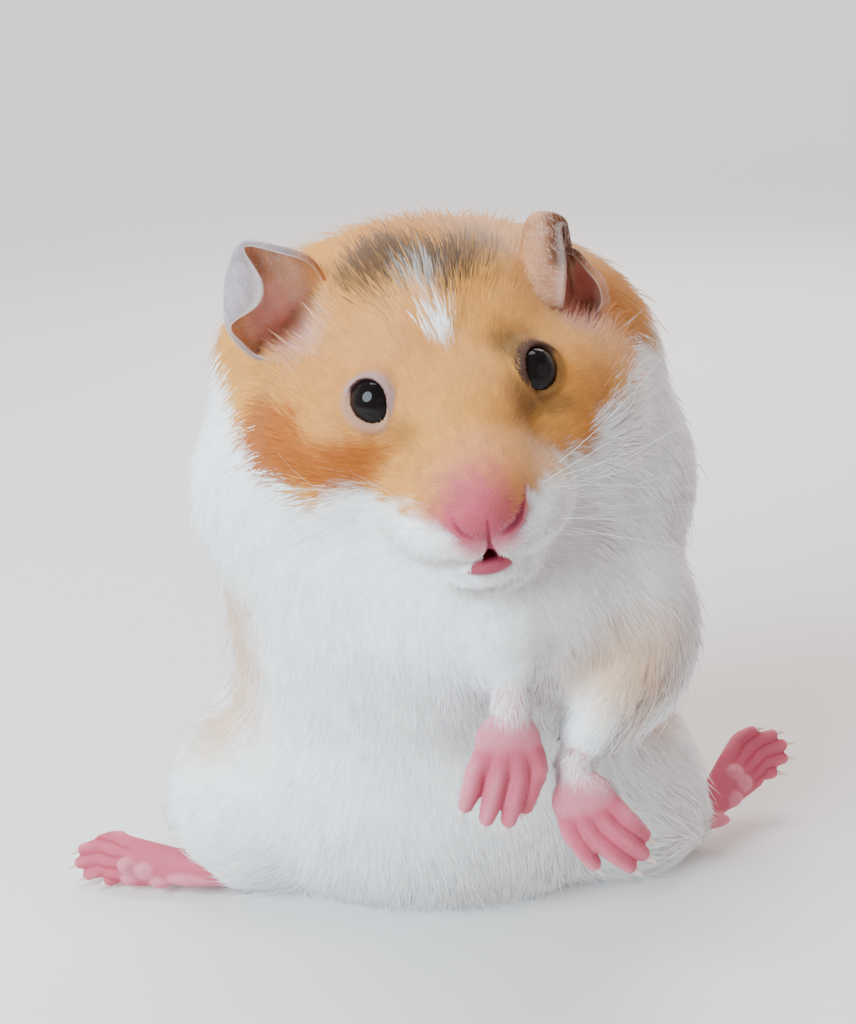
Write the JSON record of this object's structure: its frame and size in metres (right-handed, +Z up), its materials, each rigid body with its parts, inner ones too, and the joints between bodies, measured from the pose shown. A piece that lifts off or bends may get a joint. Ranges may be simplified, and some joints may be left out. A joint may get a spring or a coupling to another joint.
{
  "type": "syrian hamster",
  "caption": "Still life-size model of a golden and white Syrian hamster sitting up, forepaws hanging before its chest and hind feet out to the sides.",
  "frame": {"origin": "on the floor, under the middle of the model's bounding box", "axes": "+Z up, the animal faces -Y, +X towards its left side"},
  "size_m": [0.1092, 0.075, 0.0963],
  "materials": {
    "coat_white": "soft white fur",
    "coat_gold": "soft golden fur",
    "skin_pink": "bare pink skin, slightly moist",
    "skin_ear": "thin bare ear skin with fine down",
    "eye_gloss": "wet glossy black"
  },
  "bodies": {
    "root": {"trunk": "coat_white", "neck": "coat_white", "head": "coat_gold", "lower_jaw": "coat_white", "nose": "skin_pink", "eye_right": "eye_gloss", "eye_left": "eye_gloss", "ear_right": "skin_ear", "ear_left": "skin_ear", "foreleg_right": "coat_white", "foreleg_left": "coat_white", "forepaw_right": "skin_pink", "forepaw_left": "skin_pink", "thigh_right": "coat_white", "thigh_left": "coat_white", "hind_foot_right": "skin_pink", "hind_foot_left": "skin_pink", "tail": "skin_pink"}
  },
  "joints": []
}
